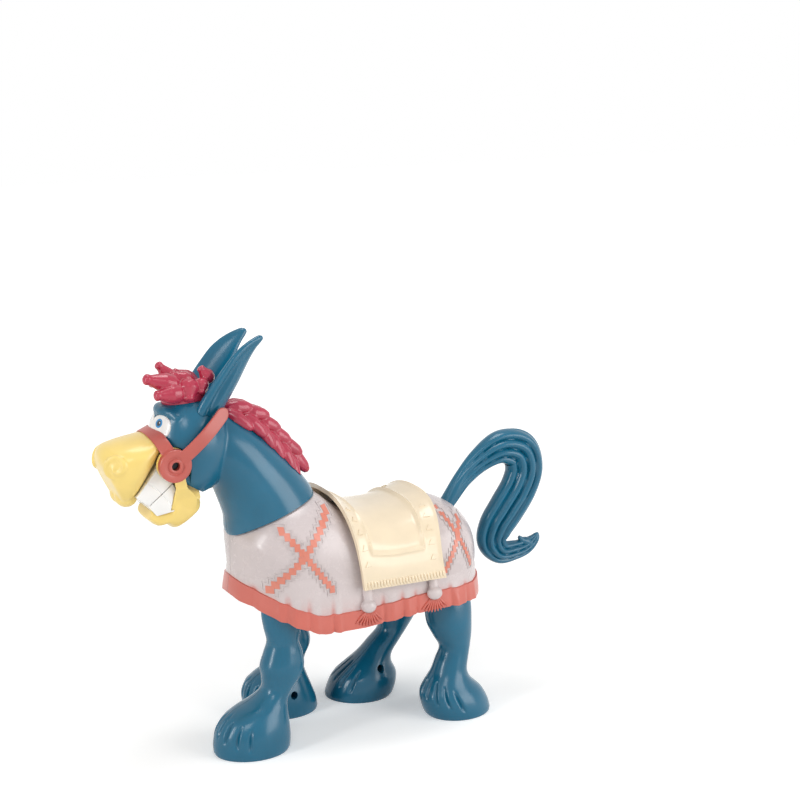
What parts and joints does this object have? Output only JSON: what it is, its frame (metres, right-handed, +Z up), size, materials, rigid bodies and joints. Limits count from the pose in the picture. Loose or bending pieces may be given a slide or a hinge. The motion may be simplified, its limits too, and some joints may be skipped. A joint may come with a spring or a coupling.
{
  "type": "battery-operated toy donkey",
  "caption": "Cartoon walking toy donkey with blanket body, saddle pad, nodding bridled head, hinged jaw, plume tail and crank-driven legs over a battery gear drive.",
  "frame": {"origin": "on the floor below the middle of the bounding box", "axes": "the donkey faces -X, its left side is -Y and +Z is up"},
  "size_m": [0.2965, 0.094, 0.2489],
  "materials": {
    "blanket_mauve": "glossy grey-mauve moulded plastic with a painted coral hem and pattern",
    "saddle_cream": "glossy cream moulded plastic",
    "body_teal": "glossy teal-blue moulded plastic",
    "muzzle_yellow": "satin pale yellow moulded plastic",
    "bridle_red": "satin dull red moulded plastic",
    "hair_red": "glossy crimson moulded plastic",
    "white": "glossy white moulded plastic",
    "nylon": "natural nylon",
    "steel": "plain steel",
    "black": "black plastic",
    "cell_jacket": "printed cell jacket, plain green"
  },
  "bodies": {
    "chassis": {"body_shell_left": "blanket_mauve", "body_shell_right": "blanket_mauve", "shell_screw_front": "steel", "shell_screw_rear": "steel", "belly_pan": "body_teal", "battery_door": "body_teal", "battery_door_screw": "steel", "battery_cell_left": "cell_jacket", "battery_cell_right": "cell_jacket", "battery_contact_front": "steel", "battery_contact_rear": "steel", "saddle": "saddle_cream", "gearbox_plate_left": "nylon", "gearbox_plate_right": "nylon", "motor": "steel", "front_hip_axle": "steel", "hind_hip_axle": "steel", "neck_pivot_axle": "steel", "switch_housing": "black"},
    "neck": {"head_shell_left": "body_teal", "head_shell_right": "body_teal", "neck_tang": "nylon", "muzzle": "muzzle_yellow", "upper_teeth": "white", "bridle": "bridle_red", "eye_left": "white", "eye_right": "white", "ear_left": "body_teal", "ear_right": "body_teal", "forelock": "hair_red", "mane": "hair_red", "jaw_screw_left": "steel", "jaw_screw_right": "steel"},
    "jaw": {"lower_jaw": "muzzle_yellow", "lower_teeth": "white"},
    "tail": {"tail": "body_teal"},
    "front_left_leg": {"front_left_leg_outer": "body_teal", "front_left_leg_inner": "body_teal", "front_left_leg_screw": "steel"},
    "front_right_leg": {"front_right_leg_outer": "body_teal", "front_right_leg_inner": "body_teal", "front_right_leg_screw": "steel"},
    "hind_left_leg": {"hind_left_leg_outer": "body_teal", "hind_left_leg_inner": "body_teal", "hind_left_leg_screw": "steel"},
    "hind_right_leg": {"hind_right_leg_outer": "body_teal", "hind_right_leg_inner": "body_teal", "hind_right_leg_screw": "steel"},
    "crank": {"crank_axle": "steel", "crank_gear": "nylon", "crank_disc_left": "nylon", "crank_disc_right": "nylon", "nod_cam": "nylon"},
    "reduction": {"reduction_gear": "nylon", "reduction_axle": "steel"},
    "pinion": {"motor_pinion": "steel"},
    "switch": {"switch_knob": "black"}
  },
  "joints": [
    {"name": "neck_nod", "type": "hinge", "parent": "chassis", "child": "neck", "pos_m": [-0.03, 0, 0.106], "axis": [0, -1, 0], "range_deg": [-2, 10]},
    {"name": "jaw_open", "type": "hinge", "parent": "neck", "child": "jaw", "pos_m": [-0.1094, 0, 0.18], "axis": [0, -1, 0], "range_deg": [0, 6]},
    {"name": "tail_swing", "type": "hinge", "parent": "chassis", "child": "tail", "pos_m": [0.0803, 0, 0.1292], "axis": [0.6262, 0, 0.7797], "range_deg": [-12, 12]},
    {"name": "front_left_hip", "type": "hinge", "parent": "chassis", "child": "front_left_leg", "pos_m": [-0.041, 0, 0.096], "axis": [0, 1, 0], "range_deg": [-10, 0]},
    {"name": "front_right_hip", "type": "hinge", "parent": "chassis", "child": "front_right_leg", "pos_m": [-0.041, 0, 0.096], "axis": [0, 1, 0], "range_deg": [0, 10]},
    {"name": "hind_left_hip", "type": "hinge", "parent": "chassis", "child": "hind_left_leg", "pos_m": [0.066, 0, 0.092], "axis": [0, 1, 0], "range_deg": [0, 10]},
    {"name": "hind_right_hip", "type": "hinge", "parent": "chassis", "child": "hind_right_leg", "pos_m": [0.066, 0, 0.092], "axis": [0, 1, 0], "range_deg": [-10, 0]},
    {"name": "crank_turn", "type": "hinge", "parent": "chassis", "child": "crank", "pos_m": [0.011, 0, 0.1135], "axis": [0, 1, 0], "continuous": true},
    {"name": "reduction_turn", "type": "hinge", "parent": "chassis", "child": "reduction", "pos_m": [0.02298, 0, 0.11413], "axis": [0, 1, 0], "continuous": true},
    {"name": "pinion_turn", "type": "hinge", "parent": "chassis", "child": "pinion", "pos_m": [0.03497, 0, 0.1135], "axis": [0, 1, 0], "continuous": true},
    {"name": "switch_slide", "type": "slide", "parent": "chassis", "child": "switch", "axis": [1, 0, 0], "range_m": [0, 0.004]}
  ],
  "couplings": [
    {"joint": "hind_left_hip", "follows": "front_left_hip", "ratio": -0.93},
    {"joint": "front_right_hip", "follows": "front_left_hip", "ratio": -1},
    {"joint": "hind_right_hip", "follows": "front_left_hip", "ratio": 0.93},
    {"joint": "reduction_turn", "follows": "crank_turn", "ratio": -3},
    {"joint": "pinion_turn", "follows": "crank_turn", "ratio": 9}
  ]
}
